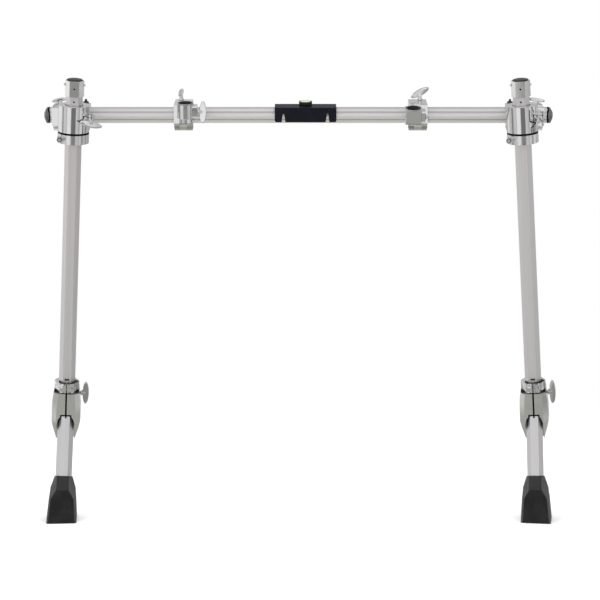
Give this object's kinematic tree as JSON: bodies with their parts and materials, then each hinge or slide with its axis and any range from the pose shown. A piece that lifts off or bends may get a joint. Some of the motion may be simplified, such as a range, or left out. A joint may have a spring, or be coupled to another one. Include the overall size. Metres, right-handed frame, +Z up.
{
  "type": "drum rack frame",
  "caption": "Stage rack frame for drums: a hexagonal tube crossbar on kicked legs with rubber feet, cast clamps with wing bolts, rod receivers for accessories and a bubble level.",
  "frame": {"origin": "middle of the frame's footprint box, on the floor", "axes": "+X along the crossbar to the right as seen from the front, +Y towards the drummer, +Z up"},
  "size_m": [1.1974, 0.2156, 1.0314],
  "materials": {
    "bright_casting": "polished",
    "chromed_bolt": "polished",
    "satin_tube": "satin",
    "steel_pin": "satin",
    "black_nylon": "satin",
    "black_rubber": "matte",
    "black_paint": "satin",
    "green_vial": "gloss"
  },
  "bodies": {
    "crossbar": {"crossbar_tube": "satin_tube", "crossbar_cap_right": "black_nylon", "crossbar_cap_left": "black_nylon"},
    "level": {"level_bracket": "black_paint", "level_vial_ring": "black_nylon", "level_vial": "green_vial"},
    "corner_clamp_left": {"leg_barrel_left": "bright_casting", "jaw_hinge_pin_left": "steel_pin", "barrel_liner_left": "black_nylon"},
    "bar_jaw_left": {"bar_jaw_left": "bright_casting"},
    "memory_collar_left": {"memory_collar_left": "bright_casting"},
    "leg_left": {"leg_tube_left": "satin_tube", "leg_top_sleeve_left": "bright_casting", "sleeve_screw_left": "steel_pin", "leg_top_plug_left": "black_nylon", "knuckle_collar_left": "bright_casting", "knuckle_shell_outer_left": "bright_casting", "knuckle_shell_inner_left": "bright_casting", "knuckle_pivot_pin_left": "steel_pin"},
    "lower_leg_left": {"lower_tube_left": "satin_tube", "lower_head_left": "bright_casting", "foot_left": "black_rubber"},
    "jaw_wing_bolt_left": {"jaw_wing_bolt_left": "chromed_bolt"},
    "jaw_key_bolt_left": {"jaw_key_bolt_left": "chromed_bolt"},
    "barrel_wing_bolt_left": {"barrel_wing_bolt_left": "chromed_bolt"},
    "collar_key_bolt_left": {"collar_key_bolt_left": "chromed_bolt"},
    "knuckle_wing_bolt_left": {"knuckle_wing_bolt_left": "chromed_bolt"},
    "accessory_clamp_left": {"accessory_body_left": "bright_casting", "accessory_hinge_pin_left": "steel_pin", "accessory_bushing_left": "black_nylon"},
    "accessory_jaw_left": {"accessory_jaw_left": "bright_casting"},
    "accessory_top_wing_bolt_left": {"accessory_top_wing_bolt_left": "chromed_bolt"},
    "accessory_side_bolt_left": {"accessory_side_bolt_left": "chromed_bolt"},
    "corner_clamp_right": {"leg_barrel_right": "bright_casting", "jaw_hinge_pin_right": "steel_pin", "barrel_liner_right": "black_nylon"},
    "bar_jaw_right": {"bar_jaw_right": "bright_casting"},
    "memory_collar_right": {"memory_collar_right": "bright_casting"},
    "leg_right": {"leg_tube_right": "satin_tube", "leg_top_sleeve_right": "bright_casting", "sleeve_screw_right": "steel_pin", "leg_top_plug_right": "black_nylon", "knuckle_collar_right": "bright_casting", "knuckle_shell_outer_right": "bright_casting", "knuckle_shell_inner_right": "bright_casting", "knuckle_pivot_pin_right": "steel_pin"},
    "lower_leg_right": {"lower_tube_right": "satin_tube", "lower_head_right": "bright_casting", "foot_right": "black_rubber"},
    "jaw_wing_bolt_right": {"jaw_wing_bolt_right": "chromed_bolt"},
    "jaw_key_bolt_right": {"jaw_key_bolt_right": "chromed_bolt"},
    "barrel_wing_bolt_right": {"barrel_wing_bolt_right": "chromed_bolt"},
    "collar_key_bolt_right": {"collar_key_bolt_right": "chromed_bolt"},
    "knuckle_wing_bolt_right": {"knuckle_wing_bolt_right": "chromed_bolt"},
    "accessory_clamp_right": {"accessory_body_right": "bright_casting", "accessory_hinge_pin_right": "steel_pin", "accessory_bushing_right": "black_nylon"},
    "accessory_jaw_right": {"accessory_jaw_right": "bright_casting"},
    "accessory_top_wing_bolt_right": {"accessory_top_wing_bolt_right": "chromed_bolt"},
    "accessory_side_bolt_right": {"accessory_side_bolt_right": "chromed_bolt"}
  },
  "joints": [
    {"name": "level_slide", "type": "slide", "parent": "crossbar", "child": "level", "axis": [1, 0, 0], "range_m": [-0.04, 0.04]},
    {"name": "corner_clamp_left_slide", "type": "slide", "parent": "crossbar", "child": "corner_clamp_left", "axis": [1, 0, 0], "range_m": [-0.005, 0.06]},
    {"name": "bar_jaw_left_hinge", "type": "hinge", "parent": "corner_clamp_left", "child": "bar_jaw_left", "pos_m": [-0.51348, -0.00412, 0.91925], "axis": [-1, 0, 0], "range_deg": [0, 8]},
    {"name": "memory_collar_left_slide", "type": "slide", "parent": "corner_clamp_left", "child": "memory_collar_left", "axis": [0.0593, -0.1733, 0.9831], "range_m": [-0.06, 0]},
    {"name": "leg_left_height_slide", "type": "slide", "parent": "corner_clamp_left", "child": "leg_left", "axis": [0.0593, -0.1733, 0.9831], "range_m": [-0.018, 0.48]},
    {"name": "lower_leg_left_fold", "type": "hinge", "parent": "leg_left", "child": "lower_leg_left", "pos_m": [-0.55357, 0.06521, 0.27265], "axis": [0.9958, 0.079, -0.0461], "range_deg": [-1.5, 22]},
    {"name": "jaw_wing_bolt_left_turn", "type": "hinge", "parent": "corner_clamp_left", "child": "jaw_wing_bolt_left", "pos_m": [-0.55398, 0.02674, 0.9717], "axis": [0, -0.1736, 0.9848], "range_deg": [-180, 180]},
    {"name": "jaw_key_bolt_left_turn", "type": "hinge", "parent": "corner_clamp_left", "child": "jaw_key_bolt_left", "pos_m": [-0.49398, 0.02674, 0.9717], "axis": [0, -0.1736, 0.9848], "range_deg": [-180, 180]},
    {"name": "barrel_wing_bolt_left_turn", "type": "hinge", "parent": "corner_clamp_left", "child": "barrel_wing_bolt_left", "pos_m": [-0.47097, -0.08314, 0.938], "axis": [-0.0593, 0.1733, -0.9831], "range_deg": [-78, 4]},
    {"name": "collar_key_bolt_left_turn", "type": "hinge", "parent": "memory_collar_left", "child": "collar_key_bolt_left", "pos_m": [-0.54304, -0.0789, 0.89254], "axis": [0.0696, -0.9817, -0.1773], "range_deg": [-180, 180]},
    {"name": "knuckle_wing_bolt_left_turn", "type": "hinge", "parent": "leg_left", "child": "knuckle_wing_bolt_left", "pos_m": [-0.51889, 0.06397, 0.29313], "axis": [0.9958, 0.079, -0.0461], "range_deg": [-180, 180]},
    {"name": "accessory_clamp_left_slide", "type": "slide", "parent": "crossbar", "child": "accessory_clamp_left", "axis": [1, 0, 0], "range_m": [-0.09, 0.1]},
    {"name": "accessory_jaw_left_hinge", "type": "hinge", "parent": "accessory_clamp_left", "child": "accessory_jaw_left", "pos_m": [-0.26148, -0.00412, 0.91925], "axis": [-1, 0, 0], "range_deg": [0, 8]},
    {"name": "accessory_top_wing_bolt_left_turn", "type": "hinge", "parent": "accessory_clamp_left", "child": "accessory_top_wing_bolt_left", "pos_m": [-0.27548, 0.02523, 0.98027], "axis": [0, -0.1736, 0.9848], "range_deg": [-180, 180]},
    {"name": "accessory_side_bolt_left_turn", "type": "hinge", "parent": "accessory_clamp_left", "child": "accessory_side_bolt_left", "pos_m": [-0.23418, -0.04945, 0.95388], "axis": [1, 0, 0], "range_deg": [-180, 180]},
    {"name": "corner_clamp_right_slide", "type": "slide", "parent": "crossbar", "child": "corner_clamp_right", "axis": [1, 0, 0], "range_m": [-0.06, 0.005]},
    {"name": "bar_jaw_right_hinge", "type": "hinge", "parent": "corner_clamp_right", "child": "bar_jaw_right", "pos_m": [0.49802, -0.00412, 0.91925], "axis": [-1, 0, 0], "range_deg": [0, 8]},
    {"name": "memory_collar_right_slide", "type": "slide", "parent": "corner_clamp_right", "child": "memory_collar_right", "axis": [-0.075, -0.1732, 0.982], "range_m": [-0.06, 0]},
    {"name": "leg_right_height_slide", "type": "slide", "parent": "corner_clamp_right", "child": "leg_right", "axis": [-0.075, -0.1732, 0.982], "range_m": [-0.018, 0.48]},
    {"name": "lower_leg_right_fold", "type": "hinge", "parent": "leg_right", "child": "lower_leg_right", "pos_m": [0.5487, 0.06509, 0.27335], "axis": [0.9849, -0.1669, 0.0458], "range_deg": [-1.5, 22]},
    {"name": "jaw_wing_bolt_right_turn", "type": "hinge", "parent": "corner_clamp_right", "child": "jaw_wing_bolt_right", "pos_m": [0.53852, 0.02674, 0.9717], "axis": [0, -0.1736, 0.9848], "range_deg": [-180, 180]},
    {"name": "jaw_key_bolt_right_turn", "type": "hinge", "parent": "corner_clamp_right", "child": "jaw_key_bolt_right", "pos_m": [0.47852, 0.02674, 0.9717], "axis": [0, -0.1736, 0.9848], "range_deg": [-180, 180]},
    {"name": "barrel_wing_bolt_right_turn", "type": "hinge", "parent": "corner_clamp_right", "child": "barrel_wing_bolt_right", "pos_m": [0.53931, -0.08412, 0.94355], "axis": [0.075, 0.1732, -0.982], "range_deg": [-8, 74]},
    {"name": "collar_key_bolt_right_turn", "type": "hinge", "parent": "memory_collar_right", "child": "collar_key_bolt_right", "pos_m": [0.467, -0.0713, 0.88968], "axis": [-0.156, -0.9706, -0.1831], "range_deg": [-180, 180]},
    {"name": "knuckle_wing_bolt_right_turn", "type": "hinge", "parent": "leg_right", "child": "knuckle_wing_bolt_right", "pos_m": [0.58002, 0.05562, 0.29689], "axis": [0.9849, -0.1669, 0.0458], "range_deg": [-180, 180]},
    {"name": "accessory_clamp_right_slide", "type": "slide", "parent": "crossbar", "child": "accessory_clamp_right", "axis": [1, 0, 0], "range_m": [-0.1, 0.09]},
    {"name": "accessory_jaw_right_hinge", "type": "hinge", "parent": "accessory_clamp_right", "child": "accessory_jaw_right", "pos_m": [0.25252, -0.00412, 0.91925], "axis": [-1, 0, 0], "range_deg": [0, 8]},
    {"name": "accessory_top_wing_bolt_right_turn", "type": "hinge", "parent": "accessory_clamp_right", "child": "accessory_top_wing_bolt_right", "pos_m": [0.27152, 0.02523, 0.98027], "axis": [0, -0.1736, 0.9848], "range_deg": [-180, 180]},
    {"name": "accessory_side_bolt_right_turn", "type": "hinge", "parent": "accessory_clamp_right", "child": "accessory_side_bolt_right", "pos_m": [0.27982, -0.04855, 0.94277], "axis": [1, 0, 0], "range_deg": [-180, 180]}
  ]
}
